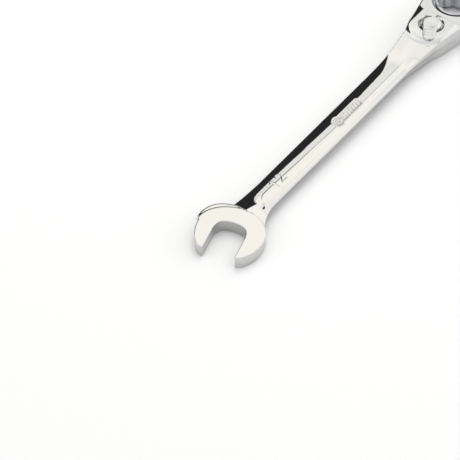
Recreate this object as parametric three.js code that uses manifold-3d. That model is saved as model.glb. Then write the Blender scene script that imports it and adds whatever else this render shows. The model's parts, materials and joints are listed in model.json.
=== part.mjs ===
// A 12 mm combination wrench: an open jaw at one end and a reversible ratchet ring at the other.
// Millimetres, +Z up. The wrench lies flat with +X running from the open jaw to the ring.
// While it is built, x = 0 and y = 0 are the middle of the open jaw; the group is moved at the end
// so that the origin is the bottom centre of the whole tool.
import * as THREE from "three";
import { mergeVertices } from "three/addons/utils/BufferGeometryUtils.js";
import Module from "manifold-3d";

const wasm = await Module();
wasm.setup();

// Driving dimensions
const ACROSS_FLATS = 12.1;
const RING_X = 146.8;
const RING_THICKNESS = 9.4;
const MID_Z = RING_THICKNESS / 2;

// Open jaw
const JAW_ANGLE = THREE.MathUtils.degToRad(15);
const JAW_SIDE_SHIFT = -1.2;
const JAW_THICKNESS = 5.2;
const JAW_HALF_WIDTH = 12.7;
const JAW_BACK = 10.9;
const JAW_FRONT = 13.0;
const JAW_TIP_X = -10.3;
const JAW_ROUNDNESS = 2.15;
const THROAT_X = 4.0;
const SHOULDER_THICKNESS = 3.6;
const SHOULDER_BACK = 12.4;
const SHOULDER_HALF_WIDTH = 13.1;
const SHOULDER_ROUNDNESS = 2.9;
const SHOULDER_SCALE = 0.995;

// Shank
const SHANK_START_X = 9;
const SHANK_END_X = 128;
const SHANK_HALF_WIDTH = 5.3;
const SHANK_HALF_THICKNESS = 2.1;
const EDGE_DROP = 0.9;
const TAPER = { start: 25, width: 0.006, height: 0.002 };
const FLARE = { start: 17, left: 0.02, right: 0.07 };
const NECK = { start: 104, widening: 1.9, rise: 2.0 };
const MIDDLE_X = RING_X / 2;
const MARK_HEIGHT = 0.2;
const BADGE_LENGTH = 19;
const BADGE_HALF_WIDTH = 2.3;

// Ring head
const RING_RADIUS = 12.2;
const NECK_RADIUS = 8.6;
const EDGE_CHAMFER = 0.7;
const LEVER_X = RING_X - 17.6;
const PIN_X = RING_X - 12.2;
const BORE_RADIUS = 8.9;
const LIP_RADIUS = 7.8;
const LIP_TOP = 1.6;
const GROOVE_RADIUS = 9.9;
const GROOVE_Z = [7.5, 8.5];
const GEAR_CLIP = { inner: 8.3, play: 0.2, z: [7.65, 8.35], gap: 0.6 };
const POCKET_Z = [2.0, 7.2];

// Ratchet
const TEETH = 72;
const TOOTH_TIP = 8.8;
const TOOTH_ROOT = 8.35;
const TOOTH_Z = [1.9, 7.2];
const COLLAR_RADIUS = 7.7;
const GEAR_Z = [0.3, 9.1];
const PAWL_Z = [2.3, 6.9];
const PAWL_SWING = THREE.MathUtils.degToRad(14);
const PIN_RADIUS = 0.9;
const MESH_CLEARANCE = 0.12;
const RUNNING_CLEARANCE = 0.08;

// Reversing lever
const LEVER_SWING = THREE.MathUtils.degToRad(50);
const SHAFT_RADIUS = 2.5;
const SHAFT_BOTTOM = 0.2;
const CAP_RADIUS = 4.1;
const CAP_Z = [8.5, 10.7];
const COUNTERBORE = { radius: 4.4, floor: 8.2 };
const CLIP_RECESS = { radius: 3.9, top: 1.5 };
const CLIP_Z = [0.75, 1.25];
const CLIP = { inner: 2.1, outer: 3.5, gap: 1.3 };
const SHAFT_NECKS = { atRing: 1.8, atClip: 1.9 };
const O_RING = { radius: 2.2, wire: 0.33, z: 7.65 };
const TAB_REACH = 7.4;
const TAB_HALF_WIDTH = { root: 3.2, tip: 2.3 };
const RIB = { first: -0.9, width: 0.6, halfLength: 1.7, height: 0.35 };
const TAB_Z = [9.75, 10.9];
const PLUNGER_RADIUS = 0.85;
const PLUNGER_SPAN = [0.6, 3.4];
const PLUNGER_Z = (PAWL_Z[0] + PAWL_Z[1]) / 2;
const PLUNGER_BORE = { radius: 1.0, floor: -1.7 };
const SPRING_SPAN = [-1.5, 0.35];
const SPRING = { turns: 5, radius: 0.6, wire: 0.13 };

// ---------------------------------------------------------------- solids

// A closed geometry as a manifold solid, with its faces turned outwards.
function toSolid(geometry) {
  const bare = geometry.clone();
  bare.deleteAttribute("normal");
  bare.deleteAttribute("uv");
  const merged = mergeVertices(bare, 1e-4);
  const triVerts = new Uint32Array(merged.index.array);
  const vertProperties = new Float32Array(merged.attributes.position.array);
  const solid = new wasm.Manifold(new wasm.Mesh({ numProp: 3, vertProperties, triVerts }));
  if (solid.volume() > 0) return solid;
  for (let i = 0; i < triVerts.length; i += 3) {
    [triVerts[i + 1], triVerts[i + 2]] = [triVerts[i + 2], triVerts[i + 1]];
  }
  return new wasm.Manifold(new wasm.Mesh({ numProp: 3, vertProperties, triVerts }));
}

function toGeometry(solid) {
  const mesh = solid.getMesh();
  const geometry = new THREE.BufferGeometry();
  geometry.setAttribute("position", new THREE.BufferAttribute(mesh.vertProperties, 3));
  geometry.setIndex(new THREE.BufferAttribute(mesh.triVerts, 1));
  geometry.computeVertexNormals();
  return geometry;
}

function joined(solids) {
  return solids.reduce((whole, solid) => whole.add(solid));
}

// An outline (a Shape or a list of points) pushed up from z0 to z1.
function prism(outline, z0, z1, curveSegments = 12) {
  const shape = outline instanceof THREE.Shape ? outline : new THREE.Shape(outline);
  const geometry = new THREE.ExtrudeGeometry(shape, {
    depth: z1 - z0,
    bevelEnabled: false,
    curveSegments,
  });
  return toSolid(geometry.translate(0, 0, z0));
}

// A round bar on the vertical through (x, 0).
function bar(x, radius, z0, z1, sides = 48) {
  const geometry = new THREE.CylinderGeometry(radius, radius, z1 - z0, sides);
  geometry.rotateX(Math.PI / 2).translate(x, 0, (z0 + z1) / 2);
  return toSolid(geometry);
}

// Sections with the same number of points, joined in order and closed by a fan at each end.
function loft(sections) {
  const count = sections[0].length;
  const points = sections.flat();
  const faces = [];
  for (let s = 0; s + 1 < sections.length; s += 1) {
    for (let i = 0; i < count; i += 1) {
      const a = s * count + i;
      const b = s * count + ((i + 1) % count);
      faces.push(a, b, b + count, a, b + count, a + count);
    }
  }
  [sections[0], sections.at(-1)].forEach((section, end) => {
    const first = end ? (sections.length - 1) * count : 0;
    const middle = section.reduce((sum, p) => sum.add(p), new THREE.Vector3());
    points.push(middle.divideScalar(count));
    for (let i = 0; i < count; i += 1) {
      const pair = [first + i, first + ((i + 1) % count)];
      if (!end) pair.reverse();
      faces.push(points.length - 1, ...pair);
    }
  });
  const geometry = new THREE.BufferGeometry().setFromPoints(points);
  geometry.setIndex(faces);
  return toSolid(geometry);
}

// ---------------------------------------------------------------- wrench body

// A point of the jaw's own frame (mouth towards -x, level with the jaw's middle) in the tool's frame.
function jawPoint(x, y) {
  const side = y + JAW_SIDE_SHIFT;
  return new THREE.Vector2(
    x * Math.cos(JAW_ANGLE) - side * Math.sin(JAW_ANGLE),
    x * Math.sin(JAW_ANGLE) + side * Math.cos(JAW_ANGLE),
  );
}

// Half an oval: a superellipse with semi-axes a and b, swept from angle `from` to `to`.
function ovalArc(a, b, power, from, to, steps) {
  const points = [];
  for (let i = 0; i <= steps; i += 1) {
    const angle = from + ((to - from) * i) / steps;
    const c = Math.cos(angle);
    const s = Math.sin(angle);
    const x = a * Math.sign(c) * Math.abs(c) ** (2 / power);
    const y = b * Math.sign(s) * Math.abs(s) ** (2 / power);
    points.push(new THREE.Vector2(x, y));
  }
  return points;
}

// The two tips are cut square to the mouth.
function jawOutline(back, halfWidth, power) {
  const rear = ovalArc(back, halfWidth, power, -Math.PI / 2, Math.PI / 2, 32);
  const front = ovalArc(JAW_FRONT, halfWidth, 2, Math.PI / 2, 1.5 * Math.PI, 32);
  const kept = front.slice(1, -1).map((p) => new THREE.Vector2(Math.max(p.x, JAW_TIP_X), p.y));
  return [...rear, ...kept].map((p) => jawPoint(p.x, p.y));
}

function mouthOutline() {
  const half = ACROSS_FLATS / 2;
  const mouth = new THREE.Shape();
  mouth.moveTo(-2 * JAW_FRONT, -half);
  mouth.lineTo(0.7, -half);
  mouth.quadraticCurveTo(2.2, 0.02 - half, 2.9, 1.45 - half);
  mouth.quadraticCurveTo(THROAT_X, -2.2, THROAT_X, 0);
  mouth.quadraticCurveTo(THROAT_X, 2.2, 2.9, half - 1.45);
  mouth.quadraticCurveTo(2.2, half - 0.02, 0.7, half);
  mouth.lineTo(-2 * JAW_FRONT, half);
  return mouth.getPoints(8).map((p) => jawPoint(p.x, p.y));
}

// The jaw's plate, and behind it a thinner shoulder. The shoulder is drawn in a little so that its
// tips end inside the plate's.
function openJaw() {
  const plate = prism(
    jawOutline(JAW_BACK, JAW_HALF_WIDTH, JAW_ROUNDNESS),
    MID_Z - JAW_THICKNESS / 2,
    MID_Z + JAW_THICKNESS / 2,
  );
  const outline = jawOutline(SHOULDER_BACK, SHOULDER_HALF_WIDTH, SHOULDER_ROUNDNESS);
  const shoulder = prism(
    outline.map((p) => p.multiplyScalar(SHOULDER_SCALE)),
    MID_Z - SHOULDER_THICKNESS / 2,
    MID_Z + SHOULDER_THICKNESS / 2,
  );
  return plate.add(shoulder);
}

// Where the two edges of the flat crest run: near the jaw the crest is a narrow strip to one side,
// and it widens towards the middle of the shank.
function crest(x) {
  const t = Math.min(Math.abs(x - MIDDLE_X) / (MIDDLE_X - 20), 1);
  return { left: 1.2 + 0.7 * t, right: -1.5 + 2.0 * t };
}

function shankSection(x) {
  const jawFlare = Math.max(0, FLARE.start - x) ** 2;
  const ringEnd = THREE.MathUtils.smoothstep(x, NECK.start, SHANK_END_X);
  const run = Math.max(0, x - TAPER.start);
  const widening = TAPER.width * run + NECK.widening * ringEnd;
  const left = SHANK_HALF_WIDTH + FLARE.left * jawFlare + widening;
  const right = -(SHANK_HALF_WIDTH + FLARE.right * jawFlare + widening);
  const height = SHANK_HALF_THICKNESS + TAPER.height * run + NECK.rise * ringEnd;
  const { left: crestLeft, right: crestRight } = crest(x);
  const upper = [
    [left, height - EDGE_DROP],
    [crestLeft, height],
    [crestRight, height],
    [crestRight - 0.25, height - 0.15],
    [right + 0.9, height - 0.6],
    [right, height - EDGE_DROP - 0.3],
  ];
  const lower = [
    [right, EDGE_DROP - height],
    [-crestLeft, -height],
    [-crestRight, -height],
    [0.25 - crestRight, 0.15 - height],
    [left - 0.9, 0.6 - height],
    [left, EDGE_DROP + 0.3 - height],
  ];
  return [...upper, ...lower].map(([y, z]) => new THREE.Vector3(x, y, MID_Z + z));
}

// Sections lie close together where the width changes and far apart along the middle.
function shank() {
  const flareEnd = 20;
  const sections = [];
  for (let x = SHANK_START_X; x < flareEnd; x += 2) sections.push(shankSection(x));
  for (let x = flareEnd; x <= NECK.start; x += 12) sections.push(shankSection(x));
  for (let x = NECK.start + 4; x <= SHANK_END_X; x += 4) sections.push(shankSection(x));
  return loft(sections);
}

// The head's pear outline: a large circle about the ring and a smaller one about the lever.
function pearOutline(inset, z) {
  const large = RING_RADIUS - inset;
  const small = NECK_RADIUS - inset;
  const lean = Math.asin((large - small) / (RING_X - LEVER_X));
  const points = [];
  const arc = (x, radius, from, to, steps) => {
    for (let i = 0; i <= steps; i += 1) {
      const angle = from + ((to - from) * i) / steps;
      points.push(new THREE.Vector3(x + radius * Math.cos(angle), radius * Math.sin(angle), z));
    }
  };
  const tangent = Math.PI / 2 + lean;
  arc(RING_X, large, -tangent, tangent, 60);
  arc(LEVER_X, small, tangent, 2 * Math.PI - tangent, 36);
  return points;
}

function ringHead() {
  return loft([
    pearOutline(EDGE_CHAMFER, 0),
    pearOutline(0, EDGE_CHAMFER),
    pearOutline(0, RING_THICKNESS - EDGE_CHAMFER),
    pearOutline(EDGE_CHAMFER, RING_THICKNESS),
  ]);
}

// The pocket that the pawl rocks in, open to the ring's bore and to the lever's shaft.
function pawlPocket() {
  const half = [[7.0, 6.9], [11.9, 7.0], [14.1, 5.2], [15.3, 3.5], [16.6, 3.0]];
  const upper = half.map(([back, side]) => new THREE.Vector2(RING_X - back, side));
  const lower = half.map(([back, side]) => new THREE.Vector2(RING_X - back, -side)).reverse();
  return prism([...upper, ...lower], ...POCKET_Z);
}

// Raised size number 12, read from the jaw towards the ring, in plain strokes.
function sizeNumber() {
  const base = MID_Z;
  const top = MID_Z + SHANK_HALF_THICKNESS + MARK_HEIGHT;
  const strokes = [
    [[27.6, -1.8], [27.6, 1.8]],
    [[26.8, 1.1], [27.6, 1.8]],
    [[29.6, 1.6], [31.9, 1.7]],
    [[31.9, 1.7], [31.9, 0.3]],
    [[31.9, 0.3], [29.6, -1.7]],
    [[29.6, -1.7], [32.2, -1.7]],
  ];
  const halfStroke = 0.3;
  return joined(
    strokes.map(([[x0, y0], [x1, y1]]) => {
      const along = new THREE.Vector2(x1 - x0, y1 - y0).setLength(halfStroke);
      const across = new THREE.Vector2(-along.y, along.x);
      const start = new THREE.Vector2(x0, y0).sub(along);
      const end = new THREE.Vector2(x1, y1).add(along);
      const corners = [
        start.clone().sub(across),
        end.clone().sub(across),
        end.clone().add(across),
        start.clone().add(across),
      ];
      return prism(corners, base, top);
    }),
  );
}

// A plain raised badge, an octagon drawn out along the shank.
function badge() {
  const half = BADGE_LENGTH / 2;
  const corner = 1.4;
  const quarter = [[half, BADGE_HALF_WIDTH - corner], [half - corner, BADGE_HALF_WIDTH]];
  const points = [
    ...quarter,
    ...quarter.map(([x, y]) => [-x, y]).reverse(),
    ...quarter.map(([x, y]) => [-x, -y]),
    ...quarter.map(([x, y]) => [x, -y]).reverse(),
  ];
  const outline = points.map(([x, y]) => new THREE.Vector2(MIDDLE_X + x, y));
  return prism(outline, MID_Z, MID_Z + SHANK_HALF_THICKNESS + MARK_HEIGHT);
}

// The same marks turned over onto the underside.
function turnedOver(solid) {
  return solid.rotate([180, 0, 0]).translate([0, 0, 2 * MID_Z]);
}

function wrenchBody() {
  const marks = sizeNumber().add(badge());
  const forging = joined([openJaw(), shank(), ringHead(), marks, turnedOver(marks)]);
  const cuts = joined([
    prism(mouthOutline(), -1, RING_THICKNESS),
    bar(RING_X, LIP_RADIUS, -1, RING_THICKNESS + 1, 96),
    bar(RING_X, BORE_RADIUS, LIP_TOP, RING_THICKNESS + 1, 96),
    bar(RING_X, GROOVE_RADIUS, ...GROOVE_Z, 96),
    pawlPocket(),
    bar(PIN_X, PIN_RADIUS + RUNNING_CLEARANCE, -1, RING_THICKNESS + 1, 24),
    bar(LEVER_X, SHAFT_RADIUS + RUNNING_CLEARANCE, -1, RING_THICKNESS + 1),
    bar(LEVER_X, COUNTERBORE.radius, COUNTERBORE.floor, RING_THICKNESS + 1),
    bar(LEVER_X, CLIP_RECESS.radius, -1, CLIP_RECESS.top),
  ]);
  return forging.subtract(cuts);
}

// ---------------------------------------------------------------- ratchet ring

// V teeth on a circle about the ring's axis; `extra` grows every flank by the same amount.
function gearOutline(extra) {
  const points = [];
  for (let i = 0; i < 2 * TEETH; i += 1) {
    const radius = (i % 2 ? TOOTH_ROOT : TOOTH_TIP) + extra;
    const angle = (Math.PI * i) / TEETH;
    points.push(new THREE.Vector2(radius * Math.cos(angle), radius * Math.sin(angle)));
  }
  return points.map((p) => p.add(new THREE.Vector2(RING_X, 0)));
}

// Twelve points: two hexagons across the same flats, a twelfth of a turn apart.
function twelvePointOutline() {
  const apothem = ACROSS_FLATS / 2;
  const outer = apothem / Math.cos(Math.PI / 6);
  const inner = apothem / Math.cos(Math.PI / 12);
  const points = [];
  for (let i = 0; i < 24; i += 1) {
    const radius = i % 2 ? inner : outer;
    const angle = (Math.PI * i) / 12;
    points.push(new THREE.Vector2(RING_X + radius * Math.cos(angle), radius * Math.sin(angle)));
  }
  return points;
}

function ratchetGear() {
  const collars = bar(RING_X, COLLAR_RADIUS, ...GEAR_Z, 96);
  const rim = prism(gearOutline(0), ...TOOTH_Z);
  return collars.add(rim).subtract(prism(twelvePointOutline(), -1, RING_THICKNESS + 1));
}

// An open ring of flat wire about (x, 0), with its gap facing the angle `facing`.
function openClip(x, inner, outer, z0, z1, gap, facing) {
  const outline = new THREE.Shape();
  outline.absarc(x, 0, outer, facing + gap / 2, facing - gap / 2 + 2 * Math.PI, false);
  outline.absarc(x, 0, inner, facing - gap / 2 + 2 * Math.PI, facing + gap / 2, true);
  return prism(outline, z0, z1, 32);
}

function gearSnapRing() {
  const { inner, play, z, gap } = GEAR_CLIP;
  return openClip(RING_X, inner, GROOVE_RADIUS - play, ...z, gap, Math.PI / 3);
}

// ---------------------------------------------------------------- pawl and lever

function about(x, solid, angle) {
  const turned = solid.translate([-x, 0, 0]).rotate([0, 0, THREE.MathUtils.radToDeg(angle)]);
  return turned.translate([x, 0, 0]);
}

// The pawl in its middle position. Its front is cut by the gear at both ends of its swing, and its
// back by the path of the plunger, so each end meshes without touching the other parts.
function pawl() {
  const half = [[7.1, 5.8], [11.6, 5.9], [13.2, 4.7], [14.5, 3.3]];
  const upper = half.map(([back, side]) => new THREE.Vector2(RING_X - back, side));
  const lower = half.map(([back, side]) => new THREE.Vector2(RING_X - back, -side)).reverse();
  const blank = prism([...upper, ...lower], ...PAWL_Z);
  const gear = prism(gearOutline(MESH_CLEARANCE), 0, RING_THICKNESS);
  const relief = bar(RING_X - 7.0, 3.4, 0, RING_THICKNESS);
  const cuts = [relief, bar(PIN_X, PIN_RADIUS + RUNNING_CLEARANCE, 0, RING_THICKNESS, 24)];
  cuts.push(about(PIN_X, gear, PAWL_SWING / 2), about(PIN_X, gear, -PAWL_SWING / 2));
  const steps = 10;
  for (let i = 0; i <= steps; i += 1) {
    const turn = 0.5 - i / steps;
    const swept = about(LEVER_X, plungerPath(), LEVER_SWING * turn);
    cuts.push(about(PIN_X, swept, PAWL_SWING * turn));
  }
  return about(PIN_X, blank.subtract(joined(cuts)), -PAWL_SWING / 2);
}

// The plunger's outline from above, a little oversize and as tall as the pawl.
function plungerPath() {
  const radius = PLUNGER_RADIUS + 0.1;
  const reach = PLUNGER_SPAN[1] + 0.1 - radius;
  const outline = new THREE.Shape();
  outline.moveTo(LEVER_X, -radius);
  outline.lineTo(LEVER_X + reach, -radius);
  outline.absarc(LEVER_X + reach, 0, radius, -Math.PI / 2, Math.PI / 2, false);
  outline.lineTo(LEVER_X, radius);
  return prism(outline, 0, RING_THICKNESS, 8);
}

function pawlPin() {
  return bar(PIN_X, PIN_RADIUS, 0.1, RING_THICKNESS - 0.1, 24);
}

// A solid of revolution about the plunger's axis, which points from the lever's axis to the ring.
function alongPlunger(profile, sides) {
  const points = profile.map(([radius, s]) => new THREE.Vector2(radius, s));
  const geometry = new THREE.LatheGeometry(points, sides);
  return toSolid(geometry.rotateZ(-Math.PI / 2).translate(LEVER_X, 0, PLUNGER_Z));
}

// The lever's thumb tab points away from the ring, opposite the plunger.
function tab() {
  const outline = new THREE.Shape();
  outline.absarc(LEVER_X - TAB_REACH, 0, TAB_HALF_WIDTH.tip, Math.PI / 2, 1.5 * Math.PI, false);
  outline.lineTo(LEVER_X, -TAB_HALF_WIDTH.root);
  outline.lineTo(LEVER_X, TAB_HALF_WIDTH.root);
  const { first, width, halfLength, height } = RIB;
  const ribs = [0, 1.5, 3.0].map((step) => {
    const x = LEVER_X - TAB_REACH + first + step;
    const corners = [[x, -halfLength], [x + width, -halfLength], [x + width, halfLength], [x, halfLength]];
    return prism(corners.map(([px, py]) => new THREE.Vector2(px, py)), TAB_Z[0], TAB_Z[1] + height);
  });
  return joined([prism(outline, ...TAB_Z), ...ribs]);
}

// The lever in its middle position: a shaft with a cap and a thumb tab on top.
function reversingLever() {
  const shaft = bar(LEVER_X, SHAFT_RADIUS, SHAFT_BOTTOM, CAP_Z[1]);
  const cap = bar(LEVER_X, CAP_RADIUS, ...CAP_Z);
  const collarCut = (inner, z0, z1) => bar(LEVER_X, 4, z0, z1).subtract(bar(LEVER_X, inner, z0, z1));
  const { radius, floor } = PLUNGER_BORE;
  const cuts = joined([
    collarCut(SHAFT_NECKS.atRing, O_RING.z - 0.45, O_RING.z + 0.45),
    collarCut(SHAFT_NECKS.atClip, CLIP_Z[0] - 0.15, CLIP_Z[1] + 0.15),
    alongPlunger([[0, floor], [radius, floor], [radius, 3], [0, 3]], 24),
  ]);
  return joined([shaft, cap, tab()]).subtract(cuts);
}

function leverORing() {
  const geometry = new THREE.TorusGeometry(O_RING.radius, O_RING.wire, 12, 40);
  return toSolid(geometry.translate(LEVER_X, 0, O_RING.z));
}

function leverSnapRing() {
  return openClip(LEVER_X, CLIP.inner, CLIP.outer, ...CLIP_Z, CLIP.gap, Math.PI);
}

function detentPlunger() {
  const [back, tip] = PLUNGER_SPAN;
  const profile = [[0, back], [PLUNGER_RADIUS, back]];
  const steps = 6;
  for (let i = 0; i <= steps; i += 1) {
    const angle = (Math.PI / 2) * (i / steps);
    const radius = i === steps ? 0 : PLUNGER_RADIUS * Math.cos(angle);
    profile.push([radius, tip - PLUNGER_RADIUS * (1 - Math.sin(angle))]);
  }
  return alongPlunger(profile, 24);
}

class Helix extends THREE.Curve {
  getPoint(t) {
    const { turns, radius, wire } = SPRING;
    const angle = 2 * Math.PI * turns * t;
    const [start, end] = SPRING_SPAN;
    const along = start + wire + (end - start - 2 * wire) * t;
    return new THREE.Vector3(along, radius * Math.cos(angle), radius * Math.sin(angle));
  }
}

function detentSpring() {
  const wire = new THREE.Shape().absarc(0, 0, SPRING.wire, 0, 2 * Math.PI, false);
  const geometry = new THREE.ExtrudeGeometry(wire, {
    steps: 60,
    curveSegments: 3,
    extrudePath: new Helix(),
  });
  return toSolid(geometry.translate(LEVER_X, 0, PLUNGER_Z));
}

// ---------------------------------------------------------------- the tool

const chrome = { color: 0xd9dadb, roughness: 0.1, metalness: 1 };
const hardenedSteel = { color: 0x8f9296, roughness: 0.35, metalness: 1 };
const springSteel = { color: 0x6a6d72, roughness: 0.4, metalness: 1 };
const rubber = { color: 0x1b1b1c, roughness: 0.8, metalness: 0 };

// The pieces on the lever are built in its middle position and turned to the end of its swing.
function onLever(solid) {
  return about(LEVER_X, solid, LEVER_SWING / 2);
}

const pieces = [
  ["wrench_body", wrenchBody(), chrome],
  ["ratchet_gear", ratchetGear(), hardenedSteel],
  ["gear_snap_ring", gearSnapRing(), springSteel],
  ["pawl", pawl(), hardenedSteel],
  ["pawl_pin", pawlPin(), hardenedSteel],
  ["reversing_lever", onLever(reversingLever()), chrome],
  ["lever_o_ring", onLever(leverORing()), rubber],
  ["lever_snap_ring", onLever(leverSnapRing()), springSteel],
  ["detent_plunger", onLever(detentPlunger()), hardenedSteel],
  ["detent_spring", onLever(detentSpring()), springSteel],
];

const group = new THREE.Group();
for (const [name, solid, look] of pieces) {
  const mesh = new THREE.Mesh(toGeometry(solid), new THREE.MeshStandardMaterial(look));
  mesh.name = name;
  group.add(mesh);
}

// The origin is the bottom centre of the box around the whole tool.
const box = new THREE.Box3().setFromObject(group);
const middle = box.getCenter(new THREE.Vector3());
group.position.set(-middle.x, -middle.y, -box.min.z);

export default group;
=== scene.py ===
"""A 12 mm combination wrench: open jaw, shank and reversible ratchet ring, in polished chrome."""
import json
import math

import bpy
import numpy as np
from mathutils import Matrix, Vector


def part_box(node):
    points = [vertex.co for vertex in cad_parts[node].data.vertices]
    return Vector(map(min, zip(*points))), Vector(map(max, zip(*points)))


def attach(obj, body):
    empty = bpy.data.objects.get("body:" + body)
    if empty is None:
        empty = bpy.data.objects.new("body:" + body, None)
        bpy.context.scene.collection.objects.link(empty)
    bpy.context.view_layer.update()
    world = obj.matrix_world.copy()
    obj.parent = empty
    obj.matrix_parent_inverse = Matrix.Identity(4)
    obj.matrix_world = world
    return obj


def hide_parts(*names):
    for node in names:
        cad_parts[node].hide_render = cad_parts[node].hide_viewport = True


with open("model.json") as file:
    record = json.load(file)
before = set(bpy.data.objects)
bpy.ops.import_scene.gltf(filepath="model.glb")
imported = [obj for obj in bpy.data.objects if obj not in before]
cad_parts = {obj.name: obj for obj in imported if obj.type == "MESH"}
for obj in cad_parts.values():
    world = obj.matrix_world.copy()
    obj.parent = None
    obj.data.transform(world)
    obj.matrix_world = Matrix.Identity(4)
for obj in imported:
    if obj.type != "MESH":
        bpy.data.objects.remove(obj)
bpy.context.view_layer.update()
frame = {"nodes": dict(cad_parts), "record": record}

MM = 0.001


def middle(node):
    low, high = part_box(node)
    return (low + high) / (2 * MM)


# The tool's own frame, in millimetres: x = 0 and y = 0 at the middle of the open jaw, z = 0 halfway
# through the ring head. Everything below is shaped there and moved to the row's frame at the end.
RING_X = 146.8
RING_CENTRE = middle("ratchet_gear")
LEVER_X = RING_X - 17.6
PIN_X = RING_X - 12.2
HALF_RING = 4.7
SHIFT = Vector((RING_CENTRE.x - RING_X, RING_CENTRE.y, RING_CENTRE.z))
LEVER_ANGLE = math.radians(25)

JAW_TILT = math.radians(15)
JAW_HALF = 2.6
JAW_SIDE_SHIFT = 1.2
JAW_TIP = 10.3
JAW_FRONT = 13.0
MOUTH_DEPTH = 4.0
MOUTH_ARC = 10.17
MIDDLE_X = RING_X / 2
CREST = 2.0
LEFT_SLOPE = 0.25
LINE_WIDTH = 0.5
BADGE_TOP = 2.42
BADGE_X = (66.4, 80.6)
BADGE_Y = (-2.3, 1.6)
BADGE_CENTRE_Y = (BADGE_Y[0] + BADGE_Y[1]) / 2
BADGE_DISC_RADIUS = 2.5
BADGE_MARK_HEIGHT = 0.11
NUMBER_HEIGHT = 0.22
NUMBER_STROKE = 0.46
NOTCH = (16.6, -3.3)
NOTCH_ALONG = (0.79, 0.61)
NOTCH_DEPTH = 0.4
NECK_START_X = 104
NECK_LENGTH = 24

RING_RADIUS = 12.2
NECK_RADIUS = 8.6
LIP_RADIUS = 7.8
BORE_RADIUS = 8.9
GROOVE_RADIUS = 9.9
COUNTERBORE = 4.4
CLIP_RECESS = 3.9
PIN_BORE = 0.98
SHAFT_BORE = 2.58
SHAFT_RADIUS = 2.5
CAP_RADIUS = 4.1
APOTHEM = 6.05
TEETH = 72
TOOTH_ROOT = 8.35
TOOTH_HEIGHT = 0.45
COLLAR_RADIUS = 7.7
GEAR_HALF = 4.4
TAB_REACH = 7.4


# ------------------------------------------------------------------ distance fields, in millimetres
# A field is negative inside the solid. Arrays in, arrays out.

def both(a, b, r):
    """Where a and b overlap, with the edge between them rounded to radius r."""
    return np.minimum(np.maximum(a, b), -r) + np.hypot(np.maximum(a + r, 0), np.maximum(b + r, 0))


def either(a, b, r):
    """a and b together, with a fillet of radius r where they meet."""
    return -both(-a, -b, r)


def ease(t):
    """0 up to t = 0, 1 from t = 1, and a smooth step between."""
    t = np.clip(t, 0, 1)
    return t * t * (3 - 2 * t)


def oval(x, y, a, b, power):
    """A superellipse with semi-axes a and b."""
    u = np.abs(x) / a
    v = np.abs(y) / b
    k = (u ** power + v ** power) ** (1 / power) + 1e-9
    slope = np.hypot((u / k) ** (power - 1) / a, (v / k) ** (power - 1) / b)
    return (k - 1) / slope


def jaw_plan(x, y, back, half, power):
    """The jaw's outline: an oval whose front is cut straight across, which leaves two tips."""
    outline = np.where(x > 0, oval(x, y, back, half, power), oval(x, y, JAW_FRONT, half, 2))
    return both(outline, -JAW_TIP - x, 0.8)


def mouth_plan(x, y):
    """The mouth: two flats and a shallow arc for its floor."""
    end = np.hypot(np.maximum(x - (MOUTH_DEPTH - MOUTH_ARC), 0), y) - MOUTH_ARC
    return both(np.abs(y) - APOTHEM, end, 2.2)


def open_jaw(x, y, z):
    """The jaw's plate, and round its back and left a band that lies a little lower."""
    c, s = math.cos(JAW_TILT), math.sin(JAW_TILT)
    jx, jy = x * c + y * s, -x * s + y * c + JAW_SIDE_SHIFT
    left = ease((jy + 3) / 6)
    side = 12.5 - 0.25 * left * ease((4 - jx) / 5)
    plate_plan = jaw_plan(jx, jy, 10.9 - 0.4 * left, side, 2.15 - 0.15 * left)
    soft = 0.22 + 0.3 * left * ease((jx + 7) / 3)
    plate = both(plate_plan, np.abs(z) - JAW_HALF, soft)
    reach = left * ease((jx + 1.5) / 5)
    band_plan = jaw_plan(jx, jy, 11.0 + 1.5 * left, 12.2 + 1.45 * reach, 2.15 + 0.45 * left)
    drop = 0.2 * ease(plate_plan / 0.6)
    band = both(band_plan, np.abs(z) - JAW_HALF + drop, 0.5 + 0.6 * left)
    return np.minimum(plate, band), mouth_plan(jx, jy)


def badge_plan(x, y):
    """A rounded bar with a disc at its near end."""
    low, high = BADGE_X
    half = (BADGE_Y[1] - BADGE_Y[0]) / 2
    bar = both(both(low - x, x - high, 1.3), np.abs(y - BADGE_CENTRE_Y) - half, 1.3)
    disc = np.hypot(x - low, y - BADGE_CENTRE_Y) - BADGE_DISC_RADIUS
    return np.minimum(bar, disc)


def shank_rise(x):
    """How much higher the upper face lies than it does beside the jaw."""
    return 0.002 * np.maximum(0, x - 25) + 2.0 * ease((x - NECK_START_X) / NECK_LENGTH)


def rim_line(x):
    """The left edge of the crest."""
    return 0.8 + 0.0265 * np.minimum(np.abs(x - MIDDLE_X), 45)


def slope_line(x):
    """Where the left slope would reach the crest's height: beside the jaw it dips to the right,
    and towards the ring it runs out at the left edge."""
    near = 0.3 * np.maximum(0, 16 - x) - 2.7 * ease((32 - x) / 16)
    return rim_line(x) + near + 7.0 * ease((x - 96) / 24)


def panel_line(x):
    """The left edge of the panel."""
    return np.clip(0.4 - 0.036 * (x - 24), -1.5, 0.4)


def crest_plan(x, y):
    end = (16.2 + 0.36 * (y + 1.5) - x) / 1.06
    return both(y - rim_line(x), end, 2.6)


def panel_plan(x, y):
    end = (17.4 + 0.75 * (y + 2.2) - x) / 1.25
    return both(both(y - panel_line(x), end, 1.8), x - 112, 2.0)


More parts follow.
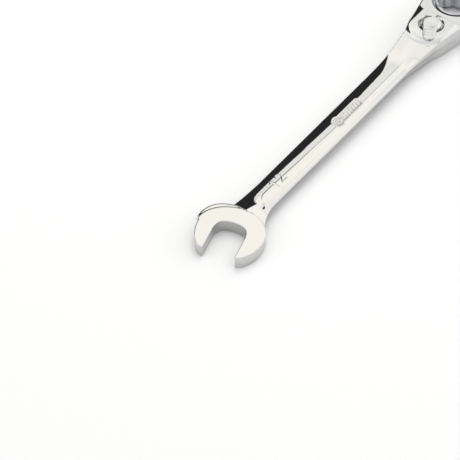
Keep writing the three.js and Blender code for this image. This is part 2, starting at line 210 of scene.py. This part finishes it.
def shank_top(x, y):
    """Height of the shank's upper face: a slope along the left edge, a narrow strip beside it and
    a panel that curves down to the right edge, with the badge halfway along and a small notch
    beside the jaw."""
    slope = CREST - LEFT_SLOPE * np.maximum(y - slope_line(x), 0)
    lean = 0.115 - 0.085 * np.clip((x - 20) / 70, 0, 1)
    strip = lean * (rim_line(x) - np.maximum(y, panel_line(x)))
    base = lean * (rim_line(x) - panel_line(x))
    step = 0.02 + 0.065 * np.exp(-np.maximum(x - 24, 0) / 10)
    panel = base + step + 0.025 - 0.0165 * (y + 1.2) ** 2
    k = ease(-panel_plan(x, y) / LINE_WIDTH)
    crest = CREST + strip * (1 - k) + panel * k - 1.2 * np.maximum(crest_plan(x, y), 0)
    height = np.maximum(slope, crest)
    badge = badge_plan(x, y)
    raised = BADGE_TOP - 2.5 * np.maximum(badge, 0) - 0.12 * ease((-0.25 - badge) / 0.25)
    height = np.where(badge < -0.4, raised, np.maximum(height, raised))
    dx, dy = x - NOTCH[0], y - NOTCH[1]
    c, s = NOTCH_ALONG
    notch = np.hypot((c * dx + s * dy) / 0.85, (s * dx - c * dy) / 0.5)
    return height - NOTCH_DEPTH * np.exp(-notch ** 2) + shank_rise(x)


def shank(x, y, z):
    """The lower half is the upper half turned over, so the two sides lean the same way."""
    half = 5.28 + 0.006 * np.clip(x - 25, 0, 45) + 1.9 * ease((x - NECK_START_X) / NECK_LENGTH)
    lean = 0.41 * np.clip(z, -1, 1)
    left = y - half + lean - 0.0027 * np.maximum(0, 32 - np.maximum(x, 12)) ** 2
    right = -y - half - lean - 0.03 * np.maximum(0, 20.5 - np.maximum(x, 8)) ** 2
    left, right = left * 0.95, right * 0.95
    top = (z - shank_top(x, y)) * 0.97
    bottom = (-z - shank_top(x, -y)) * 0.97
    upper = both(both(top, left, 0.15), right, 0.45)
    lower = both(both(bottom, right, 0.15), left, 0.45)
    ends = np.maximum(6 - x, x - 134)
    return np.maximum(np.maximum(upper, lower), ends)


def pear_plan(x, y, large, small):
    """A circle round the ring and a smaller one round the lever, with straight sides between."""
    reach = RING_X - LEVER_X
    across, along = np.abs(y), RING_X - x
    b = (large - small) / reach
    a = math.sqrt(1 - b * b)
    k = -b * across + a * along
    near = np.hypot(across, along) - large
    far = np.hypot(across, along - reach) - small
    return np.where(k < 0, near, np.where(k > a * reach, far, a * across + b * along - large))


def pocket_plan(x, y):
    """The convex pocket of the pawl: half planes through its corners, given as (back, side)."""
    back, side = RING_X - x, np.abs(y)
    corners = [(7.0, 6.9), (11.9, 7.0), (14.1, 5.2), (15.3, 3.5), (16.6, 3.0)]
    planes = [7.0 - back, back - 16.6]
    for (b0, s0), (b1, s1) in zip(corners, corners[1:]):
        length = math.hypot(b1 - b0, s1 - s0)
        planes.append(((side - s0) * (b1 - b0) - (back - b0) * (s1 - s0)) / length)
    return np.maximum.reduce(planes)


def wrench_body(x, y, z):
    """The forging, less the ring's bore and grooves, the pawl's pocket, and the bores and seats
    of the pin and the lever."""
    jaw, mouth = open_jaw(x, y, z)
    forging = either(jaw, shank(x, y, z), 0.35)
    ring = both(pear_plan(x, y, RING_RADIUS, NECK_RADIUS), np.abs(z) - HALF_RING, 0.7)
    forging = either(forging, ring, 2.5)
    forging = both(forging, -mouth, 0.15)
    from_ring = np.hypot(x - RING_X, y)
    from_lever = np.hypot(x - LEVER_X, y)
    from_pin = np.hypot(x - PIN_X, y)
    forging = both(forging, LIP_RADIUS - from_ring, 0.3)
    forging = both(forging, -np.maximum(from_ring - BORE_RADIUS, -3.1 - z), 0.05)
    cuts = [
        (from_ring - BORE_RADIUS - (z - 4.4)) * 0.707,
        np.maximum(from_ring - GROOVE_RADIUS, np.abs(z - 3.3) - 0.5),
        np.maximum(pocket_plan(x, y), np.abs(z + 0.1) - 2.6),
        from_pin - PIN_BORE,
        from_lever - SHAFT_BORE,
        np.maximum(from_lever - COUNTERBORE, 3.5 - z),
        (from_lever - COUNTERBORE - (z - 4.45)) * 0.707,
        np.maximum(from_lever - CLIP_RECESS, z + 3.2),
        (from_lever - CLIP_RECESS - (-z - 4.45)) * 0.707,
    ]
    return np.maximum(forging, -np.minimum.reduce(cuts))


def egg_plan(a, b, reach, large, small):
    """A circle at a = 0 and a smaller one at a = -reach, with straight sides between."""
    k = (large - small) / reach
    h = math.sqrt(1 - k * k)
    along = -k * np.abs(b) - h * a
    near = np.hypot(a, b) - large
    far = np.hypot(a + reach, b) - small
    side = h * np.abs(b) - k * a - large
    return np.where(along < 0, near, np.where(along > h * reach, far, side))


def reversing_lever(x, y, z):
    """A shaft with a round cap, and on top a thumb tab with three ribs, turned to its rest angle.
    The shaft has a groove for the seal, one for the clip, and a bore for the plunger."""
    c, s = math.cos(LEVER_ANGLE), math.sin(LEVER_ANGLE)
    dx = x - LEVER_X
    a, b = dx * c + y * s, y * c - dx * s
    r = np.hypot(a, b)
    cap = both(r - CAP_RADIUS, np.abs(z - 4.85) - 1.05, 0.45)
    dish = 0.12 * np.exp(-((a + 1.0) ** 2 + b ** 2) / 6)
    tab = both(egg_plan(a, b, TAB_REACH, 3.2, 2.3), np.abs(z - 5.6) - 0.6 + dish, 0.3)
    shape = either(cap, tab, 0.35)
    for centre in (-8.0, -6.5, -5.0):
        rib = np.sqrt((a - centre) ** 2 + np.maximum(np.abs(b) - 1.4, 0) ** 2 + (z - 6.15) ** 2)
        shape = either(shape, rib - 0.36, 0.12)
    shaft = both(r - SHAFT_RADIUS, np.abs(z) - 4.5, 0.2)
    shape = np.minimum(shape, shaft)
    cuts = [
        np.maximum(1.8 - r, np.abs(z - 2.95) - 0.45),
        np.maximum(1.9 - r, np.abs(z + 3.7) - 0.4),
        np.maximum(np.hypot(b, z + 0.1) - 1.0, -1.7 - a),
    ]
    return np.maximum(shape, -np.minimum.reduce(cuts))


# ------------------------------------------------------------------ from a field to a mesh

def gradient(field, p, step=0.004):
    """The field's unit normal at each point."""
    parts = []
    for axis in range(3):
        q = p.copy()
        q[:, axis] += step
        high = field(q[:, 0], q[:, 1], q[:, 2])
        q[:, axis] -= 2 * step
        parts.append(high - field(q[:, 0], q[:, 1], q[:, 2]))
    g = np.stack(parts, 1)
    return g / (np.linalg.norm(g, axis=1, keepdims=True) + 1e-12)


def no_bend(x):
    return 0 * x


def surface(field, low, high, cell, bend):
    """Dual contouring: one vertex in each cell that the surface crosses, set on the sharp edge or
    corner where there is one. The rows of cells follow y = bend(x) on the upper face and its mirror
    image on the lower one. Returns vertices, quads and a normal for each corner of each quad."""
    def follow(x, z):
        return bend(x) * np.clip(z / 1.5, -1, 1)

    def straight(x, y, z):
        return field(x, y + follow(x, z), z)

    low = np.asarray(low, float)
    cell = np.asarray(cell, float)
    counts = np.ceil((np.asarray(high) - low) / cell).astype(int) + 1
    axes = [low[i] + cell[i] * np.arange(counts[i]) for i in range(3)]
    grid = np.empty(counts)
    for start in range(0, counts[0], 64):
        block = np.meshgrid(axes[0][start:start + 64], axes[1], axes[2], indexing="ij")
        grid[start:start + 64] = straight(*block)
    inside = grid < 0

    cells = counts - 1
    stride = np.array([cells[1] * cells[2], cells[2], 1])
    points, rings, flips = [], [], []
    for axis in range(3):
        a = [slice(None)] * 3
        b = [slice(None)] * 3
        a[axis], b[axis] = slice(0, -1), slice(1, None)
        crossing = np.argwhere(inside[tuple(a)] != inside[tuple(b)])
        ahead = crossing.copy()
        ahead[:, axis] += 1
        f0, f1 = grid[tuple(crossing.T)], grid[tuple(ahead.T)]
        t = f0 / (f0 - f1)
        start = low + crossing * cell
        t0, t1 = np.zeros_like(t), np.ones_like(t)
        for _ in range(5):
            p = start.copy()
            p[:, axis] += t * cell[axis]
            f = straight(p[:, 0], p[:, 1], p[:, 2])
            same = (f < 0) == (f0 < 0)
            t0, f0 = np.where(same, t, t0), np.where(same, f, f0)
            t1, f1 = np.where(same, t1, t), np.where(same, f1, f)
            t = t0 + (t1 - t0) * np.clip(f0 / (f0 - f1 + 1e-12), 0.05, 0.95)
        p = start.copy()
        p[:, axis] += t * cell[axis]
        points.append(p)
        u, v = (axis + 1) % 3, (axis + 2) % 3
        around = []
        for du, dv in ((0, 0), (1, 0), (1, 1), (0, 1)):
            c = crossing.copy()
            c[:, u] -= du
            c[:, v] -= dv
            around.append(c @ stride)
        rings.append(np.stack(around, 1))
        flips.append(~inside[tuple(crossing.T)])
    points = np.concatenate(points)
    rings = np.concatenate(rings)
    flips = np.concatenate(flips)
    normals = gradient(straight, points)

    used, index = np.unique(rings.ravel(), return_inverse=True)
    index = index.reshape(rings.shape)
    count = len(used)
    flat = index.ravel()
    n = np.repeat(normals, 4, axis=0)
    p = np.repeat(points, 4, axis=0)
    weight = np.bincount(flat, minlength=count)
    mass = np.stack([np.bincount(flat, p[:, i], count) for i in range(3)], 1) / weight[:, None]
    offset = np.einsum("ij,ij->i", n, p - mass[flat])
    matrix = np.empty((count, 3, 3))
    right = np.empty((count, 3))
    for i in range(3):
        right[:, i] = np.bincount(flat, n[:, i] * offset, count)
        for j in range(3):
            matrix[:, i, j] = np.bincount(flat, n[:, i] * n[:, j], count)
    matrix += 0.03 * np.eye(3)
    place = mass + np.linalg.solve(matrix, right[:, :, None])[:, :, 0]
    corner = low + np.stack(np.unravel_index(used, cells), 1) * cell
    place = np.clip(place, corner - 0.1 * cell, corner + 1.1 * cell)

    place[:, 1] += follow(place[:, 0], place[:, 2])
    quads = np.where(flips[:, None], index[:, ::-1], index)
    centre = place[quads].mean(1)
    near = place[quads] * 0.7 + centre[:, None, :] * 0.3
    corner_normals = gradient(field, near.reshape(-1, 3))
    return place, quads, corner_normals


def new_object(name, mesh):
    obj = bpy.data.objects.new(name, mesh)
    bpy.context.scene.collection.objects.link(obj)
    return obj


def field_object(name, field, low, high, cell, bend=no_bend):
    """The surface of a field between two corners, as an object in the row's frame."""
    place, quads, normals = surface(field, low, high, cell, bend)
    place = (place + np.array(SHIFT)) * MM
    mesh = bpy.data.meshes.new(name)
    mesh.vertices.add(len(place))
    mesh.vertices.foreach_set("co", place.astype(np.float32).ravel())
    mesh.loops.add(quads.size)
    mesh.loops.foreach_set("vertex_index", quads.astype(np.int32).ravel())
    mesh.polygons.add(len(quads))
    mesh.polygons.foreach_set("loop_start", np.arange(0, quads.size, 4, dtype=np.int32))
    mesh.update(calc_edges=True)
    mesh.validate()
    mesh.shade_smooth()
    mesh.normals_split_custom_set(normals.astype(np.float32))
    return new_object(name, mesh)


body = field_object("body_skin", wrench_body, (-13.6, -15.5, -5.3), (160.0, 15.5, 5.3),
                    (0.36, 0.22, 0.25), panel_line)
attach(body, "wrench")
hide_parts("wrench_body")

lever = field_object("lever_skin", reversing_lever, (LEVER_X - 11, -7.4, -4.7),
                     (LEVER_X + 5, 5.0, 6.8), (0.16, 0.16, 0.16))
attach(lever, "lever")
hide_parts("reversing_lever")


# ------------------------------------------------------------------ ratchet gear

def twelve_points(turn):
    """Radius of the bore: straight flats between twelve outer and twelve inner corners."""
    outer, inner = APOTHEM / math.cos(math.pi / 6), APOTHEM / math.cos(math.pi / 12)
    step = math.pi / 12
    phase = np.abs((turn + step) % (2 * step) - step)
    x, y = inner * math.cos(step), inner * math.sin(step)
    return outer * y / (y * np.cos(phase) + (outer - x) * np.sin(phase))


def teeth(turn):
    """Radius of the V teeth."""
    share = np.abs((turn * TEETH / (2 * math.pi)) % 1 * 2 - 1)
    return TOOTH_ROOT + TOOTH_HEIGHT * share


def gear_object():
    """A ring of sections round the axis: collars, teeth, and a bore chamfered at both ends."""
    turn = np.arange(8 * TEETH) * 2 * math.pi / (8 * TEETH)
    even = np.ones_like(turn)
    bore = twelve_points(turn)
    bevel = 0.25
    loop = [
        (-GEAR_HALF, (COLLAR_RADIUS - bevel) * even),
        (bevel - GEAR_HALF, COLLAR_RADIUS * even),
        (-2.8, COLLAR_RADIUS * even),
        (-2.8, teeth(turn) - 0.12),
        (-2.65, teeth(turn)),
        (2.35, teeth(turn)),
        (2.5, teeth(turn) - 0.12),
        (2.5, COLLAR_RADIUS * even),
        (GEAR_HALF - bevel, COLLAR_RADIUS * even),
        (GEAR_HALF, (COLLAR_RADIUS - bevel) * even),
        (GEAR_HALF, bore + 0.4),
        (3.95, bore),
        (-3.95, bore),
        (-GEAR_HALF, bore + 0.4),
    ]
    rings = []
    for z, radius in loop:
        x, y = RING_X + radius * np.cos(turn), radius * np.sin(turn)
        rings.append(np.stack([x, y, np.full_like(x, z)], 1))
    place = (np.concatenate(rings) + np.array(SHIFT)) * MM
    count = len(turn)
    faces = []
    for i in range(len(loop)):
        k = (i + 1) % len(loop)
        for j in range(count):
            n = (j + 1) % count
            faces.append((i * count + j, i * count + n, k * count + n, k * count + j))
    mesh = bpy.data.meshes.new("gear_skin")
    mesh.from_pydata(place.tolist(), [], faces)
    mesh.shade_smooth()
    mesh.set_sharp_from_angle(angle=math.radians(20))
    return new_object("gear_skin", mesh)


gear = gear_object()
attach(gear, "gear")
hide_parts("ratchet_gear")


# ------------------------------------------------------------------ raised marks on the shank

STROKE_END = np.array([0.95, 0.7, 0.4])


def stroke(path, half_width, height):
    """A smooth ridge laid on the shank's upper face along a path of (x, y) points."""
    path = np.asarray(path, float)
    along = np.gradient(path, axis=0)
    along /= np.linalg.norm(along, axis=1, keepdims=True)
    caps = half_width * STROKE_END[:, None]
    path = np.vstack([path[0] - along[0] * caps, path, path[-1] + along[-1] * caps[::-1]])
    along = np.vstack([np.repeat(along[:1], 3, 0), along, np.repeat(along[-1:], 3, 0)])
    across = np.stack([-along[:, 1], along[:, 0]], 1)
    taper = np.ones(len(path))
    taper[:3] = np.sqrt(1 - STROKE_END ** 2)
    taper[-3:] = taper[2::-1]
    steps = np.linspace(-1, 1, 13)
    sections = []
    for point, side, size in zip(path, across, taper):
        x, y = point[:, None] + side[:, None] * half_width * size * steps
        rise = height * size * (1 + np.cos(math.pi * steps)) / 2
        ground = shank_top(x, y)
        upper = np.stack([x, y, ground + rise - 0.006], 1)
        lower = np.stack([x, y, ground - 0.15], 1)[[-1, 0]]
        sections.append(np.vstack([upper, lower]))
    return closed_tube(sections)


def closed_tube(sections):
    """Sections with the same number of points, joined in order, with a flat end at each side."""
    ring = len(sections[0])
    faces = []
    for i in range(len(sections) - 1):
        for j in range(ring):
            k = (j + 1) % ring
            faces.append((i * ring + j, (i + 1) * ring + j, (i + 1) * ring + k, i * ring + k))
    faces.append(tuple(range(ring)))
    faces.append(tuple(range(len(sections) * ring - 1, (len(sections) - 1) * ring - 1, -1)))
    return np.vstack(sections), faces


def line(start, end, steps=6):
    t = np.linspace(0, 1, steps)[:, None]
    return np.array(start) * (1 - t) + np.array(end) * t


def arc(centre, radius, start, end, steps=14):
    turns = np.radians(np.linspace(start, end, steps))
    return np.array(centre) + radius * np.stack([np.cos(turns), np.sin(turns)], 1)


def size_number():
    """The strokes of a plain 12, each with its half width."""
    one = np.vstack([line((26.5, 0.9), (27.5, 1.75), 5), line((27.6, 1.5), (27.6, -1.95), 10)])
    two = np.vstack([arc((31.05, 0.75), 1.1, 170, -35), line((31.8, -0.15), (30.05, -1.85), 7)])
    foot = line((30.0, -1.95), (32.5, -1.95))
    return [(path, NUMBER_STROKE) for path in (one, two, foot)]


def badge_marks():
    """A plain nut seen from above in the disc, and a row of slanted bars along the rest."""
    nut_x, middle_y = BADGE_X[0], BADGE_CENTRE_Y
    turns = np.radians(range(0, 361, 60))
    corners = [(nut_x + 1.55 * math.cos(a), middle_y + 1.55 * math.sin(a)) for a in turns]
    marks = [(line(p, q, 5), 0.26) for p, q in zip(corners, corners[1:])]
    marks.append((arc((nut_x, middle_y), 0.75, 0, 360, 24), 0.22))
    for i in range(7):
        x = nut_x + 3.7 + 1.45 * i
        marks.append((line((x - 0.5, middle_y - 1.05), (x + 0.5, middle_y + 1.05)), 0.4))
        if i % 2:
            marks.append((line((x - 0.4, middle_y + 0.9), (x - 1.0, middle_y + 0.2)), 0.26))
    return marks


def badge_ground():
    """The sunk face of the badge: a thin plate with a dull, grained surface."""
    def level(x):
        y = np.linspace(*BADGE_Y, 161) * 1.4
        inside = y[badge_plan(x, y) < -0.34]
        return inside[0], inside[-1]

    low, high = BADGE_X
    sections = []
    for x in np.linspace(low - 2.12, high - 0.38, 80):
        y0, y1 = level(x)
        y = np.linspace(y0, y1, 11)
        xs = np.full_like(y, x)
        upper = np.stack([xs, y, shank_top(xs, y) + 0.012], 1)
        lower = np.stack([xs, y, shank_top(xs, y) - 0.1], 1)[[-1, 0]]
        sections.append(np.vstack([upper, lower]))
    return [closed_tube(sections)]


def mark_object(name, tubes, underside):
    """Closed tubes as one object on the upper face, or turned over onto the underside."""
    vertices, faces = [], []
    for points, sides in tubes:
        faces += [tuple(len(vertices) + i for i in side) for side in sides]
        vertices += [tuple(p) for p in points]
    turn = -1 if underside else 1
    places = [((Vector((x, y * turn, z * turn)) + SHIFT) * MM)[:] for x, y, z in vertices]
    mesh = bpy.data.meshes.new(name)
    mesh.from_pydata(places, [], faces)
    mesh.shade_smooth()
    mesh.set_sharp_from_angle(angle=math.radians(50))
    obj = new_object(name, mesh)
    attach(obj, "wrench")
    return obj


marks, grounds = [], []
for face in ("top", "underside"):
    digits = [stroke(path, half_width, NUMBER_HEIGHT) for path, half_width in size_number()]
    marks.append(mark_object("size_number_" + face, digits, face == "underside"))
    signs = [stroke(path, half_width, BADGE_MARK_HEIGHT) for path, half_width in badge_marks()]
    marks.append(mark_object("badge_marks_" + face, signs, face == "underside"))
    grounds.append(mark_object("badge_ground_" + face, badge_ground(), face == "underside"))


# ------------------------------------------------------------------ materials

def make_material(name, colour, roughness, metallic=1.0):
    material = bpy.data.materials.new(name)
    material.use_nodes = True
    nodes, links = material.node_tree.nodes, material.node_tree.links
    shader = nodes["Principled BSDF"]
    shader.inputs["Base Color"].default_value = (*colour, 1)
    shader.inputs["Roughness"].default_value = roughness
    shader.inputs["Metallic"].default_value = metallic
    return material, nodes, links, shader


def varied(nodes, links, scale, low, high, stretch=(1, 1, 1), detail=3):
    """Noise on the object's own coordinates, mapped from low to high."""
    place = nodes.new("ShaderNodeTexCoord")
    mapping = nodes.new("ShaderNodeMapping")
    mapping.inputs["Scale"].default_value = stretch
    noise = nodes.new("ShaderNodeTexNoise")
    noise.inputs["Scale"].default_value = scale
    noise.inputs["Detail"].default_value = detail
    spread = nodes.new("ShaderNodeMapRange")
    spread.inputs["From Min"].default_value = 0.3
    spread.inputs["From Max"].default_value = 0.7
    spread.inputs["To Min"].default_value = low
    spread.inputs["To Max"].default_value = high
    links.new(place.outputs["Object"], mapping.inputs["Vector"])
    links.new(mapping.outputs["Vector"], noise.inputs["Vector"])
    links.new(noise.outputs["Fac"], spread.inputs["Value"])
    return spread.outputs["Result"]


def bumped(nodes, links, shader, height, distance):
    bump = nodes.new("ShaderNodeBump")
    bump.inputs["Strength"].default_value = 1.0
    bump.inputs["Distance"].default_value = distance
    links.new(height, bump.inputs["Height"])
    links.new(bump.outputs["Normal"], shader.inputs["Normal"])


def chrome():
    """Bright plate: nearly a mirror, with the faint waviness and haze of hand polishing."""
    material, nodes, links, shader = make_material("polished_chrome", (0.60, 0.60, 0.595), 0.05)
    links.new(varied(nodes, links, 900, 0.03, 0.075), shader.inputs["Roughness"])
    bumped(nodes, links, shader, varied(nodes, links, 700, 0, 1, (0.07, 1, 1), 2), 0.000006)
    return material


def broached_chrome_with_painted_shade():
    """The walls of the mouth: plated but not polished, with fine upright tool marks, and a darker
    base colour that is painted shade for the inside of the mouth.
    """
    # Base colour 0.51, below the polished chrome's 0.60, is painted shade on the mouth's walls; the
    # roughness and the bump are the tool marks.
    material, nodes, links, shader = make_material("broached_chrome_with_painted_shade", (0.51, 0.51, 0.50), 0.12)
    links.new(varied(nodes, links, 1500, 0.08, 0.18, (1, 1, 0.1)), shader.inputs["Roughness"])
    bumped(nodes, links, shader, varied(nodes, links, 2200, 0, 1, (1, 1, 0.05)), 0.000004)
    return material


def dull_chrome():
    """The same plate over a grained surface."""
    material, nodes, links, shader = make_material("dull_chrome", (0.56, 0.56, 0.55), 0.3)
    links.new(varied(nodes, links, 1200, 0.2, 0.4), shader.inputs["Roughness"])
    bumped(nodes, links, shader, varied(nodes, links, 1600, 0, 1), 0.00003)
    return material


def ground_steel():
    """Hardened steel with fine grinding lines."""
    material, nodes, links, shader = make_material("ground_steel", (0.55, 0.56, 0.58), 0.3)
    links.new(varied(nodes, links, 1500, 0.24, 0.4, (1, 1, 8)), shader.inputs["Roughness"])
    bumped(nodes, links, shader, varied(nodes, links, 2500, 0, 1, (1, 1, 12)), 0.000004)
    return material


def spring_steel():
    material, nodes, links, shader = make_material("spring_steel", (0.30, 0.31, 0.33), 0.35)
    links.new(varied(nodes, links, 1800, 0.28, 0.5), shader.inputs["Roughness"])
    return material


def rubber():
    material, nodes, links, shader = make_material("black_rubber", (0.02, 0.02, 0.021), 0.7, 0.0)
    links.new(varied(nodes, links, 3000, 0.6, 0.8), shader.inputs["Roughness"])
    return material


def paint(obj, material):
    obj.data.materials.clear()
    obj.data.materials.append(material)


def paint_mouth(obj, material):
    """Gives the upright faces round the mouth their own material, whose darker colour is painted
    shade.
    """
    obj.data.materials.append(material)
    count = len(obj.data.polygons)
    centres, normals = np.empty(3 * count), np.empty(3 * count)
    obj.data.polygons.foreach_get("center", centres)
    obj.data.polygons.foreach_get("normal", normals)
    x, y, _ = (centres.reshape(-1, 3) / MM - np.array(SHIFT)).T
    c, s = math.cos(JAW_TILT), math.sin(JAW_TILT)
    wall = mouth_plan(x * c + y * s, -x * s + y * c + JAW_SIDE_SHIFT) < 0.12
    upright = np.abs(normals.reshape(-1, 3)[:, 2]) < 0.6
    painted_shade_walls = wall & upright & (x < 8)
    obj.data.polygons.foreach_set("material_index", painted_shade_walls.astype(np.int32))


MATERIALS = {
    "chrome": chrome(),
    "hardened_steel": ground_steel(),
    "spring_steel": spring_steel(),
    "rubber": rubber(),
}
for piece in [body, *marks]:
    paint(piece, MATERIALS["chrome"])
for piece in grounds:
    paint(piece, dull_chrome())
# The mouth's walls get the darker chrome: painted shade inside the mouth.
paint_mouth(body, broached_chrome_with_painted_shade())
paint(lever, MATERIALS["chrome"])
paint(gear, MATERIALS["hardened_steel"])
REPLACED = ("wrench_body", "reversing_lever", "ratchet_gear")
for part in frame["record"]["subparts"]:
    if part["node"] not in REPLACED:
        paint(frame["nodes"][part["node"]], MATERIALS[part["material_slot"]])


# ------------------------------------------------------------------ floor, light and camera

def in_row(x, y, z):
    """A point of the tool's frame, in the row's frame and in metres."""
    return (Vector((x, y, z)) + SHIFT) * MM


JAW_REST_X = -10.5
RING_REST_X = LEVER_X - 8.0
FLOOR_GAP = 0.00005


def white_floor():
    """The wrench rests on its jaw tips and on the near edge of the ring head."""
    jaw_rest = in_row(JAW_REST_X, 0, -JAW_HALF)
    ring_rest = in_row(RING_REST_X, 0, -HALF_RING)
    run = ring_rest - jaw_rest
    tilt = math.atan2(-run.z, run.x)
    bpy.ops.mesh.primitive_plane_add(size=3.0, location=ring_rest)
    floor = bpy.context.object
    floor.name = "floor"
    floor.rotation_euler = (0, tilt, 0)
    floor.location.z -= FLOOR_GAP
    material, nodes, links, shader = make_material("white_paper", (0.77, 0.77, 0.77), 0.9, 0.0)
    shader.inputs["Specular IOR Level"].default_value = 0.1
    paint(floor, material)


def area_light(name, target, direction, distance, size, power):
    data = bpy.data.lights.new(name, "AREA")
    data.shape = "RECTANGLE"
    data.size, data.size_y = size
    data.energy = power
    lamp = bpy.data.objects.new(name, data)
    bpy.context.scene.collection.objects.link(lamp)
    direction = Vector(direction).normalized()
    lamp.location = target + direction * distance
    lamp.rotation_mode = "QUATERNION"
    lamp.rotation_quaternion = direction.to_track_quat("Z", "Y")
    return lamp


# Directions in the sky are in degrees: azimuths from the row's +X, elevations from the horizon.
LAMP_SPAN = (36, 60)
LAMP_LEVELS = [
    (39, (1.22, 1.22, 1.19)),
    (43, (1.28, 1.28, 1.23)),
    (46.5, (1.46, 1.44, 1.36)),
    (50.5, (1.53, 1.48, 1.37)),
    (53.5, (1.42, 1.39, 1.32)),
    (59, (1.28, 1.28, 1.25)),
]
DARK_PANEL = ((28, 112), (2, 38), 2)
GREY_PANEL = ((-152, -84), (10, 46), 6)


def sky():
    """A white studio, a little darker overhead, with a soft lamp halfway up at the back, a dark
    panel low at the back left, which the shank's slope mirrors, and a grey one low at the front
    right."""
    world = bpy.data.worlds.new("studio")
    bpy.context.scene.world = world
    world.use_nodes = True
    nodes, links = world.node_tree.nodes, world.node_tree.links
    background = nodes["Background"]
    place = nodes.new("ShaderNodeTexCoord")
    split = nodes.new("ShaderNodeSeparateXYZ")
    links.new(place.outputs["Generated"], split.inputs["Vector"])

    def math_node(kind, a, b=None):
        node = nodes.new("ShaderNodeMath")
        node.operation = kind
        for socket, value in zip(node.inputs, (a, b)):
            if value is None:
                continue
            if isinstance(value, (int, float)):
                socket.default_value = value
            else:
                links.new(value, socket)
        return node.outputs["Value"]

    def step_up(value, at, soft):
        node = nodes.new("ShaderNodeMapRange")
        node.interpolation_type = "SMOOTHSTEP"
        links.new(value, node.inputs["Value"])
        node.inputs["From Min"].default_value = at - soft
        node.inputs["From Max"].default_value = at + soft
        return node.outputs["Result"]

    def band(value, low, high, soft):
        rising = step_up(value, low, soft)
        return math_node("SUBTRACT", rising, step_up(value, high, soft))

    azimuth = math_node("ARCTAN2", split.outputs["Y"], split.outputs["X"])
    elevation = math_node("ARCSINE", split.outputs["Z"])

    def blend(factor, low, high):
        node = nodes.new("ShaderNodeMix")
        node.data_type = "RGBA"
        links.new(factor, node.inputs["Factor"])
        for socket, value in zip((node.inputs[6], node.inputs[7]), (low, high)):
            if isinstance(value, tuple):
                socket.default_value = (*value, 1)
            else:
                links.new(value, socket)
        return node.outputs[2]

    def patch(azimuths, elevations, soft):
        across = band(azimuth, *map(math.radians, azimuths), math.radians(soft))
        up = band(elevation, *map(math.radians, elevations), math.radians(soft))
        return math_node("MULTIPLY", across, up)

    lamp = nodes.new("ShaderNodeValToRGB")
    height = nodes.new("ShaderNodeMapRange")
    height.inputs["From Min"].default_value = math.radians(LAMP_SPAN[0])
    height.inputs["From Max"].default_value = math.radians(LAMP_SPAN[1])
    links.new(elevation, height.inputs["Value"])
    links.new(height.outputs["Result"], lamp.inputs["Fac"])
    stops = lamp.color_ramp.elements
    for i, (angle, level) in enumerate(LAMP_LEVELS):
        share = (angle - LAMP_SPAN[0]) / (LAMP_SPAN[1] - LAMP_SPAN[0])
        stop = stops[i] if i < 2 else stops.new(share)
        stop.position = share
        stop.color = (*level, 1)
    aside = band(azimuth, math.radians(-2), math.radians(80), math.radians(10))
    overhead = band(elevation, math.radians(55), math.radians(120), math.radians(15))
    around = blend(overhead, (1.42, 1.42, 1.42), (1.12, 1.12, 1.12))
    colour = blend(aside, around, lamp.outputs["Color"])
    colour = blend(patch(*DARK_PANEL), colour, (0.033, 0.033, 0.034))
    colour = blend(patch(*GREY_PANEL), colour, (0.45, 0.45, 0.46))
    path = nodes.new("ShaderNodeLightPath")
    colour = blend(path.outputs["Is Camera Ray"], colour, (1.0, 1.0, 1.0))
    links.new(colour, background.inputs["Color"])
    background.inputs["Strength"].default_value = 1.0


# The camera was placed from the jaw's outline: it looks along the shank from the jaw's end.
VIEW_AZIMUTH = math.radians(52.27)
VIEW_ELEVATION = math.radians(49.88)
VIEW_DISTANCE = 517.5
FOCAL_SHARE = 1500 / 460
SENSOR = 36.0


def camera():
    data = bpy.data.cameras.new("camera")
    data.sensor_width = SENSOR
    data.lens = SENSOR * FOCAL_SHARE
    data.clip_start, data.clip_end = 0.01, 10
    obj = bpy.data.objects.new("camera", data)
    bpy.context.scene.collection.objects.link(obj)
    back = Vector((-math.sin(VIEW_AZIMUTH) * math.cos(VIEW_ELEVATION),
                   -math.cos(VIEW_AZIMUTH) * math.cos(VIEW_ELEVATION),
                   math.sin(VIEW_ELEVATION)))
    target = in_row(0.632, -0.96, JAW_HALF)
    obj.location = target + back * VIEW_DISTANCE * MM
    obj.rotation_mode = "QUATERNION"
    obj.rotation_quaternion = back.to_track_quat("Z", "Y")
    bpy.context.scene.camera = obj


camera()
white_floor()
sky()
key = area_light("key", in_row(40, 0, 0), (0.32, 0.14, 0.94), distance=0.7, size=(0.3, 0.3),
                 power=1.15)
key.visible_glossy = False
bpy.context.scene.view_settings.view_transform = "Standard"
